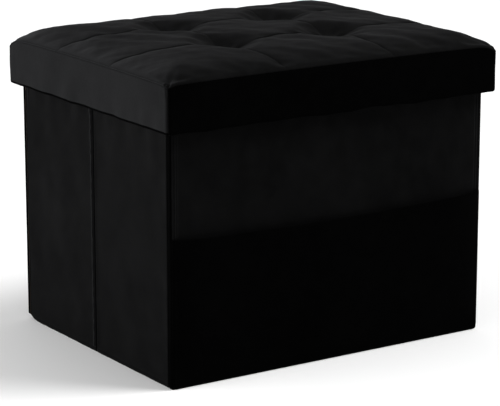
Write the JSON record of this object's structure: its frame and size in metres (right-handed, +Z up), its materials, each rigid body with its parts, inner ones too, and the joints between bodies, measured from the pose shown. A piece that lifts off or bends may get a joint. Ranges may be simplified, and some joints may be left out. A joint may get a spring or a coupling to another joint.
{
  "type": "storage ottoman",
  "caption": "Folding storage ottoman with a lift-off tufted lid, inward-folding short sides, a pull-up base board and a full-width magazine pocket across the front.",
  "frame": {"origin": "On the floor, under the middle of the object.", "axes": "+Z is up, the front with the magazine pocket faces -Y, and +X runs along the long side."},
  "size_m": [0.434, 0.35, 0.35],
  "materials": {
    "velvet": "short-pile black velvet with a soft sheen",
    "seam": "turned-in black velvet with black stitching",
    "nonwoven": "black non-woven lining with a pressed point pattern",
    "fibreboard": "raw medium-density fibreboard",
    "foam": "cut upholstery foam",
    "ribbon": "woven black grosgrain ribbon",
    "twine": "waxed black upholstery twine",
    "washer_plastic": "moulded black plastic",
    "staple_steel": "bright wire"
  },
  "bodies": {
    "front_wall": {"front_board": "fibreboard", "front_cover": "velvet", "front_lining": "nonwoven", "front_corner_seams": "seam", "pocket_panel": "velvet", "base_hinge_strip": "nonwoven"},
    "left_front_panel": {"left_front_board": "fibreboard", "left_front_cover": "velvet", "left_front_lining": "nonwoven", "left_fold_seam": "seam"},
    "left_rear_panel": {"left_rear_board": "fibreboard", "left_rear_cover": "velvet", "left_rear_lining": "nonwoven"},
    "right_front_panel": {"right_front_board": "fibreboard", "right_front_cover": "velvet", "right_front_lining": "nonwoven", "right_fold_seam": "seam"},
    "right_rear_panel": {"right_rear_board": "fibreboard", "right_rear_cover": "velvet", "right_rear_lining": "nonwoven"},
    "back_wall": {"back_board": "fibreboard", "back_cover": "velvet", "back_lining": "nonwoven", "back_corner_seams": "seam"},
    "base": {"base_board": "fibreboard", "base_cover": "nonwoven", "base_lining": "nonwoven", "pull_ribbon": "ribbon"},
    "lid": {"lid_board": "fibreboard", "lid_front_rail": "fibreboard", "lid_back_rail": "fibreboard", "lid_left_rail": "fibreboard", "lid_right_rail": "fibreboard", "lid_foam": "foam", "lid_top_cover": "velvet", "lid_front_skirt": "velvet", "lid_back_skirt": "velvet", "lid_left_skirt": "velvet", "lid_right_skirt": "velvet", "lid_lining": "nonwoven", "tuft_ties": "twine", "tuft_washers": "washer_plastic", "lid_staples": "staple_steel"}
  },
  "joints": [
    {"name": "left_front_fold", "type": "hinge", "parent": "front_wall", "child": "left_front_panel", "pos_m": [-0.194, -0.1547, 0.16], "axis": [0, 0, -1], "range_deg": [0, 90]},
    {"name": "left_middle_fold", "type": "hinge", "parent": "left_front_panel", "child": "left_rear_panel", "pos_m": [-0.2064, 0, 0.16], "axis": [0, 0, 1], "range_deg": [0, 180]},
    {"name": "left_rear_fold", "type": "hinge", "parent": "left_rear_panel", "child": "back_wall", "pos_m": [-0.194, 0.1547, 0.16], "axis": [0, 0, -1], "range_deg": [0, 90]},
    {"name": "right_front_fold", "type": "hinge", "parent": "front_wall", "child": "right_front_panel", "pos_m": [0.194, -0.1547, 0.16], "axis": [0, 0, 1], "range_deg": [0, 90]},
    {"name": "right_middle_fold", "type": "hinge", "parent": "right_front_panel", "child": "right_rear_panel", "pos_m": [0.2064, 0, 0.16], "axis": [0, 0, -1], "range_deg": [0, 180]},
    {"name": "base_lift", "type": "hinge", "parent": "front_wall", "child": "base", "pos_m": [0, -0.1502, 0.0003], "axis": [1, 0, 0], "range_deg": [0, 90], "deforming": ["base_hinge_strip"]},
    {"name": "lid_lift", "type": "slide", "parent": "front_wall", "child": "lid", "axis": [0, 0, 1], "range_m": [0, 0.2]}
  ],
  "couplings": [
    {"joint": "left_middle_fold", "follows": "left_front_fold", "ratio": 2},
    {"joint": "left_rear_fold", "follows": "left_front_fold", "ratio": 1},
    {"joint": "right_front_fold", "follows": "left_front_fold", "ratio": 1},
    {"joint": "right_middle_fold", "follows": "left_front_fold", "ratio": 2}
  ]
}
